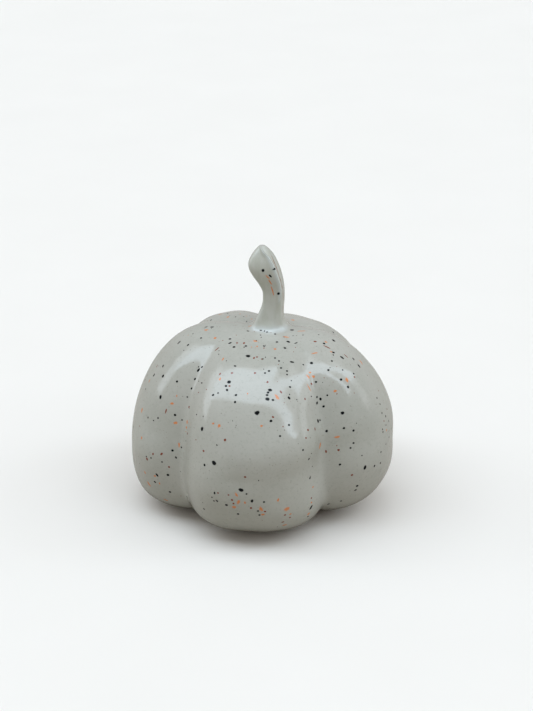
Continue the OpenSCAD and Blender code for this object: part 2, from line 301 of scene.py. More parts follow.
def make_body_glaze():
    g = round_body(LOBE_STEPS)
    lower = [lower_ring(g, GLAZE_EDGE * k / LOWER_ROWS, 0)
             for k in range(LOWER_ROWS, -1, -1)]
    upper = [upper_ring(g, POOL_START * k / UPPER_ROWS, 0)
             for k in range(UPPER_ROWS + 1)]
    rings = np.array(lower + upper)
    # the unevenness fades out towards the rim at the foot and the ring of the pool
    from_ends = np.concatenate([
        np.linspace(0, 1, LOWER_ROWS + 1), np.linspace(1, 0, UPPER_ROWS + 1)])
    share = ease(np.clip(from_ends / END_BAND, 0, 1))[:, None]
    rings = rings + grid_normals(rings) * (unevenness(rings) * share)[..., None]
    turns = g["turn"]
    pool = curve(rings[-1], pool_ring(turns, *POOL_BRIM), pool_ring(turns, 0, POOL_LEVEL),
                 POOL_ROWS)
    back = [crown_ring(turns, SEAT_RADIUS, STEM_LEVEL),
            crown_ring(turns, SEAT_RADIUS, SEAT_LEVEL)]
    inner = [upper_ring(g, INNER_TOP * k / INNER_UPPER_ROWS, GLAZE)
             for k in range(INNER_UPPER_ROWS, -1, -1)]
    inner += [lower_ring(g, GLAZE_EDGE * k / INNER_LOWER_ROWS, GLAZE)
              for k in range(INNER_LOWER_ROWS + 1)]
    lip = (inner[-1] + rings[0]) / 2 - np.array([0, 0, LIP_DROP])
    obj = mesh_from_rings("glazed_body", list(rings) + pool + back + inner + [lip], False)
    # how far each point of the outside is from the glaze's lower edge, in mm
    edge = np.full(len(obj.data.vertices), FAR_FROM_EDGE)
    n = len(turns)
    along = np.cumsum(np.linalg.norm(np.diff(rings, axis=0), axis=2), axis=0)
    edge[:n] = 0
    edge[n:n * len(rings)] = np.minimum(along.reshape(-1), FAR_FROM_EDGE)
    edge[-n:] = 0
    vertex_value(obj, "from_edge", edge)
    # how pale the glaze is round the stem: pooled glaze, with a painted highlight that is
    # strongest in front of the stem
    pooled_and_highlight = np.zeros(len(obj.data.vertices))
    first = n * len(rings)
    for k in range(POOL_ROWS):
        pooled_and_highlight[first + k * n:first + (k + 1) * n] = in_front(turns) * (k + 1) / POOL_ROWS
    vertex_value(obj, "pooled_and_highlight", pooled_and_highlight)
    return obj


# ---------------------------------------------------------------- stem's shape
def clamp(k):
    return min(1.0, max(0.0, k))


def stem_offset(u):
    return (STEM_BOW * ease(clamp(u / FLARE_END))
            - (STEM_BOW + STEM_HOOK) * ease(clamp((u - WAIST_AT) / (HOOK_END - WAIST_AT))))


def stem_half_width(u):
    if u < FLARE_END:
        return (STEM_WAIST + (STEM_FOOT - STEM_WAIST) * (1 - u / FLARE_END) ** FLARE_CURVE) / 2
    if u < HEAD_AT:
        return mix(STEM_WAIST, STEM_HEAD,
                   ease(clamp((u - WAIST_AT) / (HEAD_AT - WAIST_AT)))) / 2
    return STEM_HEAD / 2 * (1 - ((u - HEAD_AT) / (1 - HEAD_AT)) ** 2) ** TIP_CURVE


def stem_ring(turns, u, skin):
    side = turns - math.radians(STEM_CORNER) + math.pi / 4
    corner = (np.abs(np.cos(side)) ** STEM_SQUARENESS
              + np.abs(np.sin(side)) ** STEM_SQUARENESS) ** (-1 / STEM_SQUARENESS)
    r = stem_half_width(u) * mix(1, corner, clamp(u * FOOT_BLEND)) + skin
    return np.stack([CROWN_RIGHT + stem_offset(u) + r * np.cos(turns),
                     r * np.sin(turns) - CROWN_FRONT,
                     np.full(len(turns), STEM_LEVEL + u * STEM_HEIGHT + skin * ease(u))], -1)


STEM_ROWS, STEM_POINTS, SKIRT_ROWS, CORE_ROWS = 72, 120, 6, 18
SKIRT_TOP = 0.1          # how far up the stem the fillet at its foot ends
# The ridge up the front of the stem: how far up, and its direction there; its
# height in mm and its width in degrees; the stretches, as shares of the stem's
# height, over which it rises at its lower end and sinks at the tip; how sharp
# it is, and the share of its height that it keeps at the tip
RIDGE_UP = [0.2, 0.35, 0.56, 0.74, 0.81, 0.88, 0.94, 1.0]
RIDGE_TURN = [-69, -67, -57, -55, -57, -65, -90, -125]
RIDGE_HEIGHT, RIDGE_WIDTH, RIDGE_RISE, RIDGE_TIP = 0.7, 10, 0.25, 0.1
RIDGE_SHARPNESS, RIDGE_AT_TIP = 1.5, 0.5
# The rust-coloured line down the stem's right side: its direction, how far and
# how often it sways, its width, and where on the stem it fades at either end
RUST_TURN, RUST_SWAY, RUST_BENDS, RUST_WIDTH = -34, 3, 9, 5
RUST_FOOT, RUST_TIP = (0.1, 1 / 6), (0.97, 1 / 8)


def ridge(turns, u):
    """How far the glaze stands out along the ridge, in mm."""
    away = turned_from(turns, np.interp(u, RIDGE_UP, RIDGE_TURN))
    across = np.exp(-np.abs(away / math.radians(RIDGE_WIDTH)) ** RIDGE_SHARPNESS)
    rise = ease(clamp((u - RIDGE_UP[0]) / RIDGE_RISE))
    tip = 1 - (1 - RIDGE_AT_TIP) * ease(clamp((u - 1 + RIDGE_TIP) / RIDGE_TIP))
    return RIDGE_HEIGHT * across * rise * tip


def stem_heights(rows):
    """Shares of the stem's height, closer together towards the tip."""
    return [TIP_END * math.sin(math.pi / 2 * k / rows) for k in range(rows + 1)]


def make_stem_glaze():
    turns = np.arange(STEM_POINTS) * 2 * math.pi / STEM_POINTS
    core = [stem_ring(turns, u, 0) for u in reversed(stem_heights(CORE_ROWS))]
    heights = [u for u in stem_heights(STEM_ROWS) if u > SKIRT_TOP]
    outer = [stem_ring(turns, u, GLAZE + ridge(turns, u) + fins(turns, u)) for u in heights]
    start = pool_ring(turns, 0, POOL_LEVEL)
    bend = pool_ring(turns, -POOL_BEND, POOL_LEVEL + POOL_BEND)
    skirt = [crown_ring(turns, SEAT_RADIUS, STEM_LEVEL), start]
    skirt += curve(start, bend, outer[0], SKIRT_ROWS)[:-1]
    rings = core + skirt + outer
    obj = mesh_from_rings("glazed_stem", rings, True)
    # how near each point is to the rust-coloured line down the stem's right side
    n = STEM_POINTS
    line = np.zeros(len(obj.data.vertices))
    for k, ring in enumerate(rings):
        if k > len(core):
            up = (ring[0, 2] - STEM_LEVEL) / STEM_HEIGHT
            there = (clamp((up - RUST_FOOT[0]) / RUST_FOOT[1])
                     * clamp((RUST_TIP[0] - up) / RUST_TIP[1]))
            away = turned_from(turns, RUST_TURN + RUST_SWAY * math.sin(RUST_BENDS * up))
            line[k * n:(k + 1) * n] = there * np.exp(-((away / math.radians(RUST_WIDTH)) ** 2))
    vertex_value(obj, "rust_line", line)
    vertex_value(obj, "from_edge", np.full(len(obj.data.vertices), FAR_FROM_EDGE))
    # a painted highlight along the ridge, and round the foot pooled glaze that is paler, with a
    # painted highlight on its front
    pooled_and_highlight = np.zeros(len(obj.data.vertices))
    for k, u in enumerate(heights):
        row = (len(rings) - len(outer) + k) * n
        pooled_and_highlight[row:row + n] = ridge(turns, u) / RIDGE_HEIGHT
    for k in range(-2, SKIRT_ROWS - 1):
        row = (len(core) + 2 + k) * n
        pooled_and_highlight[row:row + n] = in_front(turns) * min(1, 1 - (k + 1) / SKIRT_ROWS)
    vertex_value(obj, "pooled_and_highlight", pooled_and_highlight)
    return obj


# ---------------------------------------------------------------- specks
# The larger specks on the side that the camera sees: kind, across and down in
# the frame in pixels, half length and half width in mm, and the long way's tilt
BLACK, ORANGE, RUST = 0, 1, 2
TOP_SPECKS = [
    (BLACK, 248, 356, 0.65, 0.5, -15), (BLACK, 230, 343, 0.5, 0.35, 30),
    (BLACK, 234, 347, 0.45, 0.35, -10), (BLACK, 230, 339, 0.4, 0.3, 20),
    (BLACK, 264, 346, 0.4, 0.28, -50), (BLACK, 277, 342, 0.4, 0.35, 0),
    (BLACK, 285, 348, 0.4, 0.35, 0), (BLACK, 292, 362, 0.65, 0.3, 5),
    (BLACK, 246, 346, 0.35, 0.3, 0), (BLACK, 275, 358, 0.3, 0.28, 0),
    (BLACK, 279, 361, 0.28, 0.28, 0), (BLACK, 281, 368, 0.35, 0.25, 0),
    (BLACK, 287, 371, 0.3, 0.28, 0), (BLACK, 269, 371, 0.35, 0.3, 0),
    (BLACK, 265, 373, 0.3, 0.28, 0), (BLACK, 235, 366, 0.4, 0.25, -25),
    (BLACK, 261, 330, 0.4, 0.32, 0), (BLACK, 258, 327, 0.3, 0.25, 0),
    (BLACK, 248, 331, 0.4, 0.25, -10), (BLACK, 275, 334, 0.35, 0.25, 0),
    (BLACK, 292, 330, 0.55, 0.4, -20), (BLACK, 267, 332, 0.3, 0.22, 0),
    (BLACK, 296, 343, 0.5, 0.22, 40), (BLACK, 303, 335, 0.22, 0.2, 0),
    (BLACK, 212, 327, 0.5, 0.32, 0), (BLACK, 206, 327, 0.4, 0.25, 10),
    (BLACK, 211, 320, 0.35, 0.28, 10), (BLACK, 201, 338, 0.3, 0.28, 0),
    (ORANGE, 255, 341, 0.6, 0.35, -10), (ORANGE, 286, 337, 0.75, 0.35, -15),
    (ORANGE, 206, 330, 0.6, 0.28, 0), (ORANGE, 221, 314, 0.65, 0.35, 10),
    (ORANGE, 228, 317, 0.4, 0.35, 0), (ORANGE, 215, 338, 0.38, 0.35, 0),
    (ORANGE, 223, 359, 0.5, 0.25, 80), (ORANGE, 275, 349, 0.35, 0.32, 0),
    (ORANGE, 293, 320, 0.6, 0.4, 60), (ORANGE, 302, 331, 1.1, 0.18, 5),
    (RUST, 237, 343, 0.35, 0.28, 0), (RUST, 244, 343, 0.45, 0.28, 80),
    (RUST, 254, 358, 0.38, 0.3, 60), (RUST, 257, 357, 0.3, 0.25, 0),
    (RUST, 262, 359, 0.3, 0.25, 0), (RUST, 255, 373, 0.35, 0.32, 0),
    (RUST, 217, 349, 0.9, 0.15, 55), (RUST, 264, 348, 0.25, 0.22, 0),
    (BLACK, 246.6, 321.3, 0.26, 0.2, 0), (BLACK, 284, 337, 0.24, 0.2, 0),
    (BLACK, 317.6, 322.2, 0.28, 0.22, 0), (BLACK, 264.5, 331, 0.24, 0.2, 0),
    (BLACK, 303.3, 364.6, 0.26, 0.22, 0), (ORANGE, 250, 326, 0.5, 0.2, 20),
    (RUST, 237, 342.7, 0.3, 0.24, 0), (RUST, 244, 343, 0.3, 0.24, 0),
]
FRONT_SPECKS = [
    (BLACK, 257, 413, 0.68, 0.6, 30), (BLACK, 202, 429, 0.6, 0.55, 70),
    (BLACK, 214, 463, 0.72, 0.6, -30), (BLACK, 204.5, 465, 0.42, 0.35, -60),
    (BLACK, 229, 382, 0.55, 0.48, 0), (BLACK, 226, 386, 0.38, 0.32, 0),
    (BLACK, 227, 390, 0.42, 0.32, -40), (BLACK, 236, 395, 0.35, 0.32, 0),
    (BLACK, 235, 402, 0.35, 0.3, 80), (BLACK, 213, 395, 0.38, 0.35, 0),
    (BLACK, 218, 393, 0.28, 0.22, 0), (BLACK, 270, 390, 0.6, 0.4, -10),
    (BLACK, 268, 392.5, 0.4, 0.3, 30), (BLACK, 267, 395, 0.38, 0.3, 0),
    (BLACK, 267.5, 399, 0.58, 0.48, -10), (BLACK, 273, 400, 0.4, 0.3, 0),
    (BLACK, 289, 398, 0.48, 0.35, -50), (BLACK, 290, 387, 0.35, 0.3, 0),
    (BLACK, 271, 421, 0.42, 0.35, 30), (BLACK, 289, 425, 0.35, 0.3, 0),
    (BLACK, 303, 450, 0.32, 0.28, 0), (BLACK, 309, 459, 0.35, 0.32, 0),
    (BLACK, 310, 478, 0.36, 0.3, 0), (BLACK, 280, 436, 0.35, 0.25, 0),
    (ORANGE, 219, 426, 0.5, 0.42, 80), (ORANGE, 213, 423.5, 0.36, 0.32, 0),
    (ORANGE, 261.5, 426, 0.34, 0.28, 20), (ORANGE, 277, 397, 0.9, 0.4, -55),
    (ORANGE, 220, 379, 0.45, 0.3, 80), (RUST, 220, 374, 0.35, 0.28, 60),
    (RUST, 232, 373, 0.38, 0.3, 0), (RUST, 229.5, 386, 0.35, 0.28, -30),
    (RUST, 225, 440, 0.38, 0.34, 60), (RUST, 203.5, 451, 0.35, 0.32, 0),
    (RUST, 245, 477, 0.36, 0.28, 0), (RUST, 273, 417, 0.32, 0.25, -30),
    (RUST, 281, 392, 0.48, 0.28, -60), (RUST, 267.5, 382, 0.35, 0.3, 70),
    (RUST, 305, 399, 0.36, 0.28, 80), (RUST, 308, 430, 0.36, 0.32, 0),
    (RUST, 315, 429, 0.42, 0.25, 80), (RUST, 306, 438, 0.28, 0.24, 0),
    (BLACK, 287.1, 374.6, 0.28, 0.24, 0), (BLACK, 212, 497.3, 0.26, 0.22, 0),
    (BLACK, 327.3, 395.3, 0.28, 0.24, 0),
]
FOOT_SPECKS = [
    (BLACK, 241, 490, 0.7, 0.5, -20), (BLACK, 246.5, 494, 0.3, 0.26, 0),
    (BLACK, 252, 501, 0.52, 0.38, 80), (BLACK, 226.5, 505, 0.4, 0.36, 0),
    (BLACK, 214.5, 493, 0.46, 0.28, 80), (BLACK, 217, 501, 0.36, 0.28, -60),
    (BLACK, 214, 501, 0.3, 0.22, 0), (BLACK, 238, 514, 0.38, 0.32, 0),
    (BLACK, 258, 511, 0.34, 0.3, 0), (BLACK, 259.5, 515, 0.34, 0.28, 0),
    (BLACK, 264, 502, 0.34, 0.3, 0), (BLACK, 311, 507.5, 0.75, 0.42, 55),
    (BLACK, 204, 509, 0.36, 0.26, 0), (BLACK, 308, 516.5, 0.35, 0.28, 0),
    (ORANGE, 236.5, 495, 0.7, 0.3, -70), (ORANGE, 238.5, 502, 0.75, 0.42, 75),
    (ORANGE, 234, 507, 0.6, 0.48, 30), (ORANGE, 245, 502.5, 0.42, 0.28, -70),
    (ORANGE, 261, 509, 0.8, 0.42, -70), (ORANGE, 263, 514.5, 0.5, 0.38, 0),
    (ORANGE, 278, 500, 0.46, 0.32, 85), (ORANGE, 287, 509, 0.78, 0.6, 0),
    (ORANGE, 308.5, 514, 0.55, 0.42, 50), (ORANGE, 311.5, 502.5, 0.34, 0.28, 0),
    (ORANGE, 313, 487, 0.32, 0.28, 0), (ORANGE, 284.5, 525, 0.6, 0.3, 5),
    (ORANGE, 290.5, 514, 0.34, 0.28, 0),
    (RUST, 232, 500, 0.36, 0.3, -60), (RUST, 233.5, 503.5, 0.34, 0.26, 60),
    (RUST, 251, 508, 0.38, 0.32, 80), (RUST, 265, 511.5, 0.36, 0.3, -40),
    (RUST, 228.5, 495, 0.28, 0.24, 0), (RUST, 218, 493, 0.3, 0.26, 0),
    (RUST, 311.5, 498, 0.3, 0.26, 0), (RUST, 285, 515, 0.34, 0.28, 0),
    (RUST, 283, 522, 0.4, 0.26, 20), (RUST, 290, 517.5, 0.3, 0.26, 0),
]
LEFT_SPECKS = [
    (BLACK, 163, 376, 0.5, 0.45, 0), (BLACK, 163, 366, 0.42, 0.35, 80),
    (BLACK, 160.5, 397, 0.62, 0.42, 80), (BLACK, 177, 381.5, 0.4, 0.34, 20),
    (BLACK, 198.5, 370, 0.6, 0.36, 50), (BLACK, 202, 367, 0.35, 0.25, 30),
    (BLACK, 179, 342.5, 0.65, 0.3, 40), (BLACK, 188, 345, 0.38, 0.26, 30),
    (BLACK, 175, 415, 0.38, 0.34, 0), (BLACK, 158, 418, 0.34, 0.26, 60),
    (BLACK, 154, 375, 0.5, 0.35, 60), (BLACK, 195, 379, 0.35, 0.28, 50),
    (BLACK, 191.5, 388.5, 0.35, 0.25, 60), (BLACK, 172.5, 450.5, 0.4, 0.36, 0),
    (BLACK, 176, 457.5, 0.38, 0.28, -60), (BLACK, 157, 475, 0.6, 0.35, -60),
    (BLACK, 168, 475, 0.45, 0.35, 10), (BLACK, 155, 482, 0.42, 0.3, -40),
    (BLACK, 170, 492, 0.4, 0.3, 0), (BLACK, 187, 497.5, 0.55, 0.28, -40),
    (BLACK, 162, 462, 0.28, 0.26, 0), (BLACK, 151, 458, 0.3, 0.24, 60),
    (ORANGE, 142, 410, 0.75, 0.4, 75), (ORANGE, 172, 403.5, 0.55, 0.32, 5),
    (ORANGE, 175.5, 423, 0.6, 0.35, 5), (ORANGE, 187, 422, 0.5, 0.35, 85),
    (ORANGE, 186.5, 427.5, 0.38, 0.32, 70), (ORANGE, 179, 445, 0.7, 0.28, 80),
    (ORANGE, 149, 484, 0.85, 0.38, -75), (ORANGE, 145, 472.5, 0.45, 0.3, 80),
    (ORANGE, 155, 476, 0.36, 0.3, 40), (ORANGE, 159.5, 483.5, 0.42, 0.26, 80),
    (ORANGE, 166, 500, 0.65, 0.38, -10), (ORANGE, 149.5, 380.5, 0.6, 0.25, 60),
    (RUST, 166, 411, 0.75, 0.22, 65), (RUST, 161.5, 454, 0.5, 0.3, 45),
    (RUST, 153, 454, 0.4, 0.26, 70), (RUST, 147, 459, 0.5, 0.34, 80),
    (RUST, 169, 467, 0.34, 0.28, 0), (RUST, 187.5, 433.5, 0.34, 0.3, 0),
    (RUST, 157, 366, 0.5, 0.22, 65), (RUST, 189, 407, 0.34, 0.26, 70),
    (BLACK, 145.5, 389, 0.3, 0.22, 60), (BLACK, 187.3, 397, 0.26, 0.22, 0),
    (BLACK, 182, 420, 0.26, 0.22, 0), (BLACK, 153.5, 420.5, 0.24, 0.2, 0),
    (BLACK, 148, 417.5, 0.3, 0.22, 70), (BLACK, 146.3, 456.5, 0.26, 0.22, 0),
    (ORANGE, 141.6, 438, 0.5, 0.3, 75),
]
RIGHT_SPECKS = [
    (BLACK, 311.5, 363, 0.44, 0.38, 0), (BLACK, 324, 343.5, 0.42, 0.34, -10),
    (BLACK, 333.5, 352.5, 0.45, 0.32, -20), (BLACK, 342, 357.5, 0.65, 0.32, -35),
    (BLACK, 353.5, 359, 0.5, 0.3, -45), (BLACK, 359, 366, 0.65, 0.34, -50),
    (BLACK, 332, 361, 0.34, 0.3, 0), (BLACK, 328.5, 370, 0.34, 0.32, 0),
    (BLACK, 341, 379.5, 0.42, 0.38, 0), (BLACK, 348, 387, 0.38, 0.36, 0),
    (BLACK, 320.5, 399, 0.4, 0.34, -60), (BLACK, 317, 403, 0.46, 0.28, 80),
    (BLACK, 323.5, 406.5, 0.38, 0.34, 0), (BLACK, 317, 397, 0.32, 0.24, 80),
    (BLACK, 318, 421, 0.55, 0.34, -75), (BLACK, 342.5, 413, 0.52, 0.46, 0),
    (BLACK, 344, 428, 0.36, 0.32, 0), (BLACK, 353.5, 430.5, 0.38, 0.34, 0),
    (BLACK, 326.5, 431, 0.42, 0.38, 0), (BLACK, 365, 467.5, 0.72, 0.46, 85),
    (BLACK, 374.5, 466, 0.38, 0.3, 80), (BLACK, 340, 464.5, 0.38, 0.32, 0),
    (BLACK, 350.5, 448, 0.32, 0.28, 0), (BLACK, 353.5, 443, 0.32, 0.28, 0),
    (BLACK, 357, 486, 0.4, 0.36, 0), (BLACK, 355.5, 490, 0.4, 0.28, 30),
    (BLACK, 380.5, 463, 0.38, 0.26, 50), (BLACK, 316, 382, 0.34, 0.28, 0),
    (ORANGE, 347, 380, 0.7, 0.45, -70), (ORANGE, 335, 391, 0.46, 0.32, 10),
    (ORANGE, 337, 437, 0.75, 0.3, 5), (ORANGE, 320, 446, 0.95, 0.36, 88),
    (ORANGE, 313.5, 376.5, 0.46, 0.4, 0), (ORANGE, 308, 376.5, 0.6, 0.3, -50),
    (ORANGE, 310, 372.5, 0.38, 0.3, 0), (ORANGE, 309, 387.5, 1.1, 0.18, -55),
    (ORANGE, 361, 362, 0.7, 0.25, -60), (ORANGE, 326, 342, 0.42, 0.28, -20),
    (ORANGE, 332, 352, 0.7, 0.18, -15), (ORANGE, 315, 353, 0.9, 0.15, 20),
    (RUST, 315, 341.5, 0.48, 0.28, 0), (RUST, 327, 347, 1.2, 0.2, -25),
    (RUST, 346, 356, 0.8, 0.16, -40), (RUST, 354.5, 377, 0.32, 0.26, 0),
    (RUST, 326, 451.5, 0.5, 0.26, -75), (RUST, 338.5, 450, 0.38, 0.34, 0),
    (RUST, 352, 475, 0.4, 0.32, 0), (RUST, 311.5, 384, 0.36, 0.26, -60),
    (BLACK, 328.5, 504, 0.42, 0.34, 0), (BLACK, 341, 501, 0.36, 0.3, 0),
    (BLACK, 353.7, 373.7, 0.28, 0.24, 0), (BLACK, 342.6, 370, 0.26, 0.22, 0),
    (BLACK, 377, 398, 0.28, 0.24, 80), (BLACK, 380, 404, 0.26, 0.2, 0),
    (BLACK, 382, 413, 0.3, 0.24, 80), (BLACK, 385.7, 416.3, 0.34, 0.26, 80),
    (BLACK, 388.7, 421, 0.34, 0.24, 75), (BLACK, 386, 425, 0.24, 0.2, 0),
    (BLACK, 391.4, 428.6, 0.34, 0.24, 80), (BLACK, 383, 432, 0.26, 0.22, 0),
    (BLACK, 389, 437, 0.28, 0.2, 80), (BLACK, 386, 444, 0.24, 0.2, 0),
    (RUST, 387, 409, 0.3, 0.22, 80), (RUST, 384, 421, 0.26, 0.22, 0),
    (ORANGE, 386.5, 430, 0.4, 0.24, 80), (BLACK, 381, 452, 0.28, 0.22, 0),
]
STEM_SPECKS = [
    (BLACK, 263, 270.5, 0.5, 0.42, 80), (BLACK, 275, 268.7, 0.45, 0.32, 20),
    (BLACK, 270.3, 276, 0.55, 0.28, -55), (BLACK, 278.5, 293.6, 0.5, 0.36, 40),
    (ORANGE, 267.8, 277.2, 0.9, 0.2, -52), (ORANGE, 270.1, 282, 1.2, 0.2, -71),
    (ORANGE, 272.4, 290.6, 1.9, 0.18, -84),
]
TINTS = {BLACK: (0.005, 0.006, 0.007), ORANGE: (0.7, 0.21, 0.045), RUST: (0.22, 0.045, 0.02)}
# The material draws the layers in this order, one over the other
SPECK_LAYERS = {"orange": ORANGE, "rust": RUST, "black_1": BLACK, "black_2": BLACK}
# In mm: the gap under which two black specks go into different layers, how far
# past a speck's end a face still takes it in, and half a speck's depth. The last
# is a value outside every speck.
SPLIT_GAP, SPECK_REACH, SPECK_DEPTH, OUT_OF_SPECKS = 2.2, 2.5, 1.5, 9.0
# Strewn specks, in mm: how far out and about what height the aims for no centre
# lie, between which heights they point at the body's axis, and the lowest place
# that takes one. The last is the share of them that stands upright.
STREW_OUT, STREW_LEVEL, STREW_AXIS, STREW_LOWEST, STREW_UPRIGHT = 60, 28, (12, 44), 1.5, 0.6


def camera_ray(across, down):
    """Where the line of sight through a point of the frame starts, and its way."""
    right = Vector((1, 0, 0))
    way = (-BACK + right * ((across - FRAME_WIDTH / 2) / FOCAL_PX)
           + UP * ((FRAME_HEIGHT / 2 - down) / FOCAL_PX))
    return (AIM + BACK * DISTANCE) * MM, way.normalized()


class Specks:
    """Flat specks in the glaze of one piece: each has a place, two directions in
    the surface with a half size along each, and a kind."""

    def __init__(self, obj):
        self.obj = obj
        self.tree = BVHTree.FromPolygons([v.co for v in obj.data.vertices],
                                         [p.vertices for p in obj.data.polygons])
        self.rows = []

    def add(self, kind, place, normal, long_way, half_long, half_wide):
        a = (long_way - normal * long_way.dot(normal)).normalized()
        self.rows.append((kind, place, normal, a, normal.cross(a), half_long, half_wide))

    def seen(self, specks):
        for kind, across, down, half_long, half_wide, tilt in specks:
            start, way = camera_ray(across, down)
            place, normal, _, _ = self.tree.ray_cast(start, way)
            if place is not None:
                angle = math.radians(tilt)
                long_way = Vector((math.cos(angle), 0, 0)) + UP * math.sin(angle)
                self.add(kind, place, normal, long_way, half_long, half_wide)

    def scattered(self, kind, centre, spread, count, low, high, stretch=1.3):
        """Specks strewn about a place on the surface, or all over for no centre."""
        for _ in range(count):
            if centre is None:
                aim = Vector(rng.normal(size=3)).normalized() * STREW_OUT
                aim += Vector((0, 0, STREW_LEVEL))
            else:
                aim = Vector(centre) + Vector(rng.normal(size=3) * spread)
            inside = Vector((0, 0, min(max(aim.z, STREW_AXIS[0]), STREW_AXIS[1])))
            # from well outside, through the aim, towards the body's axis
            place, normal, _, _ = self.tree.ray_cast(
                aim * MM * 3 - inside * MM * 2, (inside - aim).normalized())
            if place is None or place.z < STREW_LOWEST * MM:
                continue
            half = math.exp(rng.uniform(math.log(low), math.log(high)))
            upright = rng.random() < STREW_UPRIGHT
            long_way = Vector((0, 0, 1)) if upright else Vector(rng.normal(size=3))
            self.add(kind, place, normal, long_way,
                     half * rng.uniform(1, stretch), half / rng.uniform(1, stretch))

    def layers(self):
        """The specks of each layer. Black ones that lie close together are spread
        over two layers, so that more of them show whole."""
        of_kind = {kind: [r for r in self.rows if r[0] == kind] for kind in TINTS}
        black_1, black_2 = self.split(of_kind[BLACK])
        return {"orange": of_kind[ORANGE], "rust": of_kind[RUST],
                "black_1": black_1, "black_2": black_2}

    @staticmethod
    def split(rows):
        """Two sets: one without crowding, and one of those that would crowd it."""
        first, second = [], []
        for r in sorted(rows, key=lambda r: -r[5]):
            crowded = any((r[1] - o[1]).length < SPLIT_GAP * MM + (r[5] + o[5]) * MM
                          for o in first)
            (second if crowded else first).append(r)
        return first, second

    @staticmethod
    def nearest_specks(centres, rows):
        """The speck nearest to each place, or -1 where none is near."""
        tree = KDTree(len(rows))
        for i, r in enumerate(rows):
            tree.insert(r[1], i)
        tree.balance()
        nearest = np.full(len(centres), -1)
        for f, c in enumerate(centres):
            best = None
            for _, i, away in tree.find_n(c, 3):
                gap = away - rows[i][5] * MM
                if best is None or gap < best[0]:
                    best = (gap, i)
            if best[0] < SPECK_REACH * MM:
                nearest[f] = best[1]
        return nearest

    def store(self):
        """Writes, at each corner of each face, where that corner lies within the
        nearest speck of each layer: a length of 1 is the speck's rim."""
        mesh = self.obj.data
        corners = np.zeros(len(mesh.loops), np.int64)
        mesh.loops.foreach_get("vertex_index", corners)
        points = np.array([v.co for v in mesh.vertices])
        counts = np.array([p.loop_total for p in mesh.polygons])
        face_of = np.repeat(np.arange(len(counts)), counts)
        centres = np.array([p.center for p in mesh.polygons])
        for name, rows in self.layers().items():
            values = np.full((len(corners), 3), OUT_OF_SPECKS)
            if rows:
                place, normal, a, b = (np.array([r[k] for r in rows]) for k in (1, 2, 3, 4))
                a = a / (np.array([r[5] for r in rows])[:, None] * MM)
                b = b / (np.array([r[6] for r in rows])[:, None] * MM)
                own = self.nearest_specks(centres, rows)[face_of]
                there = own >= 0
                own = own[there]
                away = points[corners[there]] - place[own]
                values[there] = np.stack([
                    (away * a[own]).sum(1), (away * b[own]).sum(1),
                    (away * normal[own]).sum(1) / (SPECK_DEPTH * MM)], -1)
            attribute = mesh.attributes.new(name, "FLOAT_VECTOR", "CORNER")
            attribute.data.foreach_set("vector", values.astype(np.float32).ravel())


# Where specks gather on the sides that the camera doesn't see, in mm
GATHERINGS = [
    (30, 22, 40), (34, 14, 15), (14, 36, 30), (-16, 34, 42), (-12, 36, 10),
    (-34, 12, 34), (24, 28, 8), (-28, 26, 22), (2, 30, 46), (-36, 4, 12),
]


def speckle(body, stem):
    on_body = Specks(body)
    for group in (TOP_SPECKS, FRONT_SPECKS, FOOT_SPECKS, LEFT_SPECKS, RIGHT_SPECKS):
        on_body.seen(group)
    for place in GATHERINGS:
        on_body.scattered(BLACK, place, 7, 12, 0.2, 0.6)
        on_body.scattered(ORANGE, place, 6, 6, 0.25, 0.7, 1.8)
        on_body.scattered(RUST, place, 7, 5, 0.2, 0.42)
    for y in (38, 60):
        on_body.scattered(BLACK, (0, y, 30), 30, 26, 0.2, 0.62)
        on_body.scattered(ORANGE, (0, y, 30), 30, 12, 0.25, 0.6, 1.8)
        on_body.scattered(RUST, (0, y, 30), 30, 10, 0.2, 0.4)
    on_body.scattered(BLACK, None, 0, 150, 0.1, 0.24)
    on_body.scattered(RUST, None, 0, 60, 0.1, 0.2)
    on_body.scattered(ORANGE, None, 0, 30, 0.12, 0.26, 1.6)
    on_body.store()
    on_stem = Specks(stem)
    on_stem.seen(STEM_SPECKS)
    on_stem.store()


# ---------------------------------------------------------------- materials
# Colours, as linear red, green and blue
GLAZE_DULL, GLAZE_CLEAR = (0.44, 0.433, 0.38), (0.475, 0.463, 0.41)
MOTTLE, FINE_CLOUDS = (0.505, 0.488, 0.438), (0.31, 0.305, 0.25)
BROWN_GRAIN, GREY_GRAIN = (0.2, 0.15, 0.1), (0.12, 0.12, 0.1)
STEM_TONE, STEM_STREAK = (0.56, 0.575, 0.48), (0.58, 0.57, 0.52)
# The first of these is the pale of pooled glaze round the stem's foot, and also a painted
# highlight there and along the stem's ridge
POOLED_AND_HIGHLIGHT, THIN_EDGE, RUST_LINE = (0.6, 0.63, 0.61), (0.24, 0.105, 0.05), (0.24, 0.09, 0.055)
CLAY_LIGHT, CLAY_DARK = (0.4, 0.27, 0.17), (0.3, 0.19, 0.115)
SLIP_LIGHT, SLIP_DARK = (0.43, 0.31, 0.2), (0.34, 0.23, 0.145)
GROG = (0.12, 0.07, 0.04)


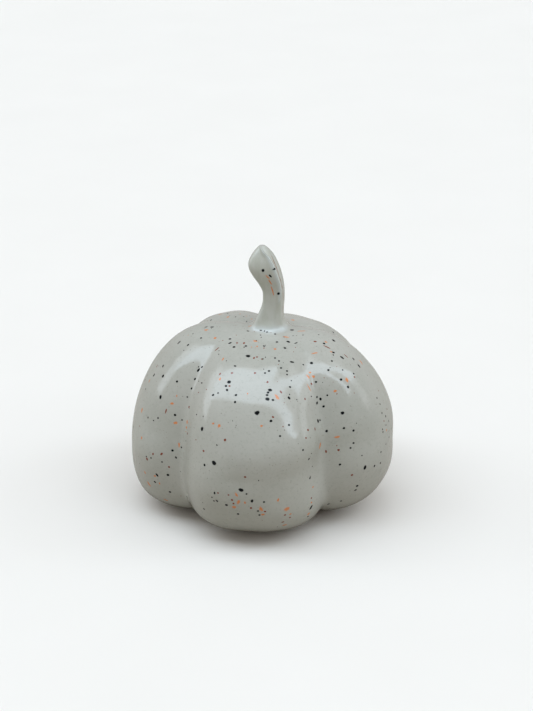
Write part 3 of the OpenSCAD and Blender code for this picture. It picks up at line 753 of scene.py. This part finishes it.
class Nodes:
    """A small helper that adds shader nodes to a material or world and joins them."""

    def __init__(self, owner):
        owner.use_nodes = True
        self.owner = owner
        self.tree = owner.node_tree
        self.shader = self.tree.nodes.get("Principled BSDF")

    def add(self, kind, inputs=None, **settings):
        node = self.tree.nodes.new(kind)
        for key, value in settings.items():
            setattr(node, key, value)
        for key, value in (inputs or {}).items():
            if isinstance(value, bpy.types.NodeSocket):
                self.tree.links.new(value, node.inputs[key])
            else:
                node.inputs[key].default_value = value
        return node

    def math(self, operation, a, b=0.0):
        return self.add("ShaderNodeMath", {0: a, 1: b}, operation=operation).outputs[0]

    def vector(self, operation, a, b=(0, 0, 0)):
        node = self.add("ShaderNodeVectorMath", {0: a, 1: b}, operation=operation)
        return node.outputs["Value" if operation in ("LENGTH", "DISTANCE") else "Vector"]

    def ramp(self, value, low, high, to_low=0.0, to_high=1.0):
        return self.add("ShaderNodeMapRange", {
            "Value": value, "From Min": low, "From Max": high, "To Min": to_low,
            "To Max": to_high}, interpolation_type="SMOOTHSTEP", clamp=True).outputs["Result"]

    def blend(self, factor, a, b):
        node = self.add("ShaderNodeMix", data_type="RGBA")
        for socket, value in ((node.inputs[0], factor), (node.inputs[6], a), (node.inputs[7], b)):
            if isinstance(value, bpy.types.NodeSocket):
                self.tree.links.new(value, socket)
            else:
                socket.default_value = value if isinstance(value, float) else (*value, 1)
        return node.outputs[2]

    def noise(self, place, scale, detail=2.0, roughness=0.5):
        return self.add("ShaderNodeTexNoise", {
            "Vector": place, "Scale": scale, "Detail": detail, "Roughness": roughness})

    def cells(self, place, scale):
        return self.add("ShaderNodeTexVoronoi", {"Vector": place, "Scale": scale})

    def attribute(self, name):
        return self.add("ShaderNodeAttribute", attribute_name=name)


def place_in_mm(nodes):
    place = nodes.add("ShaderNodeTexCoord").outputs["Object"]
    return nodes.vector("MULTIPLY", place, (1000, 1000, 1000))


def dots(nodes, place, cell, chance, radius):
    """Tiny dots: one in a share of the cells of a given size, in mm."""
    cells = nodes.cells(place, 1 / cell)
    chosen = nodes.math("LESS_THAN", nodes.add(
        "ShaderNodeSeparateColor", {0: cells.outputs["Color"]}).outputs[0], chance)
    near = nodes.ramp(cells.outputs["Distance"], radius / cell, radius / cell * 0.55)
    return nodes.math("MULTIPLY", chosen, near)


def glaze_material(name, on_stem):
    n = Nodes(bpy.data.materials.new(name))
    place = place_in_mm(n)
    slow = n.noise(place, 0.045, 2.0).outputs["Fac"]
    mottle = n.noise(place, 0.45, 4.0, 0.6).outputs["Fac"]
    fine = n.noise(place, 1.3, 3.0, 0.7).outputs["Fac"]
    colour = n.blend(n.ramp(slow, 0.35, 0.65), GLAZE_DULL, GLAZE_CLEAR)
    colour = n.blend(n.math("MULTIPLY", n.ramp(mottle, 0.45, 0.75), 0.4), colour, MOTTLE)
    colour = n.blend(n.math("MULTIPLY", n.ramp(fine, 0.5, 0.8), 0.5), colour, FINE_CLOUDS)
    # pepper in the glaze: many faint grains, of brown and of grey
    grain = dots(n, place, 1.0, 0.35, 0.2)
    colour = n.blend(n.math("MULTIPLY", grain, 0.32), colour, BROWN_GRAIN)
    grain = dots(n, n.vector("ADD", place, (31.0, 7.0, 3.0)), 1.9, 0.3, 0.24)
    colour = n.blend(n.math("MULTIPLY", grain, 0.42), colour, GREY_GRAIN)
    if on_stem:
        colour = n.blend(0.45, colour, STEM_TONE)
        streak = n.noise(n.vector("MULTIPLY", place, (1.0, 1.0, 0.1)), 0.7, 2.0).outputs["Fac"]
        colour = n.blend(n.math("MULTIPLY", n.ramp(streak, 0.4, 0.62), 0.5), colour,
                         STEM_STREAK)
    # paler where the glaze pools round the stem's foot, with a painted highlight there and along
    # the stem's ridge
    pooled_and_highlight = n.attribute("pooled_and_highlight").outputs["Fac"]
    colour = n.blend(n.math("MULTIPLY", n.ramp(pooled_and_highlight, 0.2, 0.9), 0.75), colour, POOLED_AND_HIGHLIGHT)
    # the larger specks, with uneven rims, from where each point lies in them
    wobble = n.vector("SUBTRACT", n.noise(place, 1.5, 2.0).outputs["Color"], (0.5, 0.5, 0.5))
    black = 0.0
    for layer, kind in SPECK_LAYERS.items():
        # how uneven the rim is, how soft, and how much of the glaze it covers
        rough, soft, cover = (1.4, 0.35, 0.92) if kind == ORANGE else (0.6, 0.22, 1.0)
        at = n.vector("ADD", n.attribute(layer).outputs["Vector"],
                      n.vector("MULTIPLY", wobble, (rough, rough, rough)))
        inside = n.ramp(n.vector("LENGTH", at), 1 + soft, 1 - soft)
        colour = n.blend(n.math("MULTIPLY", inside, cover), colour, TINTS[kind])
        if kind == BLACK:
            black = n.math("MAXIMUM", inside, black)
    # the glaze turns rust-coloured where it thins out, near its lower edge
    thin = n.ramp(n.attribute("from_edge").outputs["Fac"], 1.3, 0.1)
    colour = n.blend(n.math("MULTIPLY", thin, 0.85), colour, THIN_EDGE)
    if on_stem:
        line = n.math("MULTIPLY", n.attribute("rust_line").outputs["Fac"],
                      n.ramp(n.noise(place, 0.6).outputs["Fac"], 0.35, 0.6))
        colour = n.blend(n.math("MULTIPLY", line, 0.9), colour, RUST_LINE)
    n.tree.links.new(colour, n.shader.inputs["Base Color"])
    gloss = n.ramp(n.noise(place, 0.2, 3.0).outputs["Fac"], 0.3, 0.7, 0.1, 0.17)
    n.tree.links.new(gloss, n.shader.inputs["Roughness"])
    peel = n.noise(place, 0.35, 2.0).outputs["Fac"]
    bump = n.add("ShaderNodeBump", {"Strength": 0.12, "Distance": 0.0004, "Height": peel})
    n.tree.links.new(bump.outputs[0], n.shader.inputs["Normal"])
    n.shader.inputs["IOR"].default_value = 1.5
    # the black specks are iron that has broken through the gloss
    n.tree.links.new(n.ramp(black, 0, 1, 0.5, 0.0), n.shader.inputs["Coat Weight"])
    n.tree.links.new(n.ramp(black, 0, 1, 0.5, 0.15), n.shader.inputs["Specular IOR Level"])
    n.shader.inputs["Coat Roughness"].default_value = 0.03
    return n.owner


def clay_material(name, light, dark):
    n = Nodes(bpy.data.materials.new(name))
    place = place_in_mm(n)
    tone = n.noise(place, 0.3, 5.0, 0.65).outputs["Fac"]
    colour = n.blend(n.ramp(tone, 0.3, 0.7), dark, light)
    grog = dots(n, place, 0.8, 0.35, 0.18)
    colour = n.blend(n.math("MULTIPLY", grog, 0.6), colour, GROG)
    n.tree.links.new(colour, n.shader.inputs["Base Color"])
    n.tree.links.new(n.ramp(tone, 0.3, 0.7, 0.75, 0.92), n.shader.inputs["Roughness"])
    bump = n.add("ShaderNodeBump", {
        "Strength": 0.5, "Distance": 0.0002, "Height": n.noise(place, 2.5, 3.0).outputs["Fac"]})
    n.tree.links.new(bump.outputs[0], n.shader.inputs["Normal"])
    return n.owner


def dress(obj, material):
    obj.data.materials.clear()
    obj.data.materials.append(material)


# ---------------------------------------------------------------- the stage
FLOOR_HALF = 3.0         # in metres
# What the camera sees of the floor, from patch to patch, and of the backdrop; to
# all other light the floor is darker, nearer the board in the photograph
FLOOR_SEEN = (0.87, 0.82, 0.765), (0.9, 0.85, 0.795)
FLOOR_LIT = (0.44, 0.405, 0.35)
BACKDROP = (0.89, 0.9, 0.91)
# The light's strength in the room, before the object and behind it, how it grows
# towards both sides, what the window adds, and the tints of the two
ROOM_FRONT, ROOM_BACK, WINDOW = 0.345, 0.47, 2.55
ROOM_SIDES = (0.3, 0.8, 0.99, 1.22)
ROOM_TINT, WINDOW_TINT = (1.0, 0.975, 0.945), (0.87, 1.0, 1.12)
# The part of the window that is overhead lies on a plane one unit up, x across
# and y along it. Its edges go from where it is dark to where it is whole. The
# near edge slants. The far edge dips right of the middle, and from FAR_TURN on
# it lies further and further back.
NEAR_EDGE, FAR_EDGE = (-0.7, -0.6), (0.05, -0.05)
RIGHT_EDGE, LEFT_EDGE = (2.2, 1.8), (-2.5, -2.1)
NEAR_SLANT, FAR_DIP = (-0.3, 0.3, 0.34, 0.28), (0.05, 0.26, 0.12, -0.16)
FAR_TURN, FAR_SLANT = 0.55, 0.55
# Something dark before it, and something small and less dark: x, y, half sizes
# and the share of the light that comes past
WINDOW_GAPS = (1.5, -0.48, 0.95, 0.25, 0.2), (0.2, -0.12, 0.12, 0.16, 0.5)
GAP_RIM = (0.75, 1.15)
# Its legs down the sides: where their middle lies and how strong they are, each
# on the left and on the right, how wide, how far out, and how low they start
LEG_MIDDLE, LEG_STRENGTH = (-0.5, 0.5, 0.12, 0.02), (-0.5, 0.5, 0.6, 0.32)
LEG_WIDTH, LEG_OUT, LEG_FOOT = (0.22, 0.08), (0.4, 0.6), (0.1, 0.22)


def add_floor():
    mesh = bpy.data.meshes.new("floor")
    half = FLOOR_HALF
    mesh.from_pydata([(-half, -half, 0), (half, -half, 0), (half, half, 0), (-half, half, 0)],
                     [], [(0, 1, 2, 3)])
    floor = bpy.data.objects.new("floor", mesh)
    bpy.context.scene.collection.objects.link(floor)
    n = Nodes(bpy.data.materials.new("pale_floor"))
    grey = n.noise(place_in_mm(n), 0.02).outputs["Fac"]
    path = n.add("ShaderNodeLightPath")
    pale = n.blend(grey, *FLOOR_SEEN)
    n.tree.links.new(n.blend(path.outputs["Is Camera Ray"], FLOOR_LIT, pale),
                     n.shader.inputs["Base Color"])
    n.shader.inputs["Roughness"].default_value = 0.8
    dress(floor, n.owner)


def add_lights():
    """A grey room, a little brighter behind the object and at its sides, and a wide
    soft window overhead that reaches down left and right. The window's edges and
    gaps are set so that its reflections lie as they do in the photograph."""
    world = bpy.data.worlds.new("studio")
    bpy.context.scene.world = world
    n = Nodes(world)
    n.tree.nodes.clear()
    way = n.add("ShaderNodeSeparateXYZ", {0: n.add("ShaderNodeTexCoord").outputs["Generated"]})
    x, y, z = way.outputs
    up = n.math("MAXIMUM", z, 0.02)
    across, along = n.math("DIVIDE", x, up), n.math("DIVIDE", y, up)
    slant = n.ramp(across, *NEAR_SLANT)
    near = n.math("ADD", along, n.math("MULTIPLY", across, slant))
    back = n.math("MAXIMUM", n.math("SUBTRACT", across, FAR_TURN), 0.0)
    back = n.math("ADD", n.math("MULTIPLY", back, FAR_SLANT), n.ramp(across, *FAR_DIP))
    far = n.math("SUBTRACT", along, back)
    over = n.math("MULTIPLY", n.ramp(near, *NEAR_EDGE), n.ramp(far, *FAR_EDGE))
    over = n.math("MULTIPLY", over, n.ramp(across, *RIGHT_EDGE))
    over = n.math("MULTIPLY", over, n.ramp(across, *LEFT_EDGE))
    for at_x, at_y, half_x, half_y, past in WINDOW_GAPS:
        gap = n.add("ShaderNodeCombineXYZ", {
            0: n.math("DIVIDE", n.math("SUBTRACT", across, at_x), half_x),
            1: n.math("DIVIDE", n.math("SUBTRACT", along, at_y), half_y)})
        gap = n.ramp(n.vector("LENGTH", gap.outputs[0]), *GAP_RIM, past, 1.0)
        over = n.math("MULTIPLY", over, gap)
    beside = n.math("ABSOLUTE", n.math("SUBTRACT", y, n.ramp(x, *LEG_MIDDLE)))
    leg = n.math("MULTIPLY", n.ramp(beside, *LEG_WIDTH),
                 n.ramp(n.math("ABSOLUTE", x), *LEG_OUT))
    leg = n.math("MULTIPLY", leg, n.ramp(x, *LEG_STRENGTH))
    leg = n.math("MULTIPLY", leg, n.ramp(z, *LEG_FOOT))
    window = n.math("MAXIMUM", over, leg)
    room = n.ramp(y, -0.9, 0.6, ROOM_FRONT, ROOM_BACK)
    room = n.math("MULTIPLY", room, n.ramp(n.math("ABSOLUTE", x), *ROOM_SIDES))
    light = n.add("ShaderNodeBackground", {
        "Color": n.blend(window, ROOM_TINT, WINDOW_TINT),
        "Strength": n.math("ADD", room, n.math("MULTIPLY", window, WINDOW))})
    backdrop = n.add("ShaderNodeBackground", {"Color": (*BACKDROP, 1), "Strength": 1.0})
    seen = n.add("ShaderNodeLightPath").outputs["Is Camera Ray"]
    pick = n.add("ShaderNodeMixShader", {0: seen, 1: light.outputs[0], 2: backdrop.outputs[0]})
    n.add("ShaderNodeOutputWorld", {0: pick.outputs[0]})


# ---------------------------------------------------------------- all together
add_camera()
body_glaze = make_body_glaze()
stem_glaze = make_stem_glaze()
speckle(body_glaze, stem_glaze)

dress(body_glaze, glaze_material("body_glaze_look", False))
dress(stem_glaze, glaze_material("stem_glaze_look", True))
clay = clay_material("bare_clay_look", CLAY_LIGHT, CLAY_DARK)
slip = clay_material("slip_look", SLIP_LIGHT, SLIP_DARK)
for node in ("lower_shell", "upper_shell", "stem"):
    dress(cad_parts[node], clay)
for node in ("seam_slip", "stem_slip"):
    dress(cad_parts[node], slip)

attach(body_glaze, "root")
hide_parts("body_glaze")
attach(stem_glaze, "root")
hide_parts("stem_glaze")

add_floor()
add_lights()
bpy.context.scene.view_settings.view_transform = "Standard"
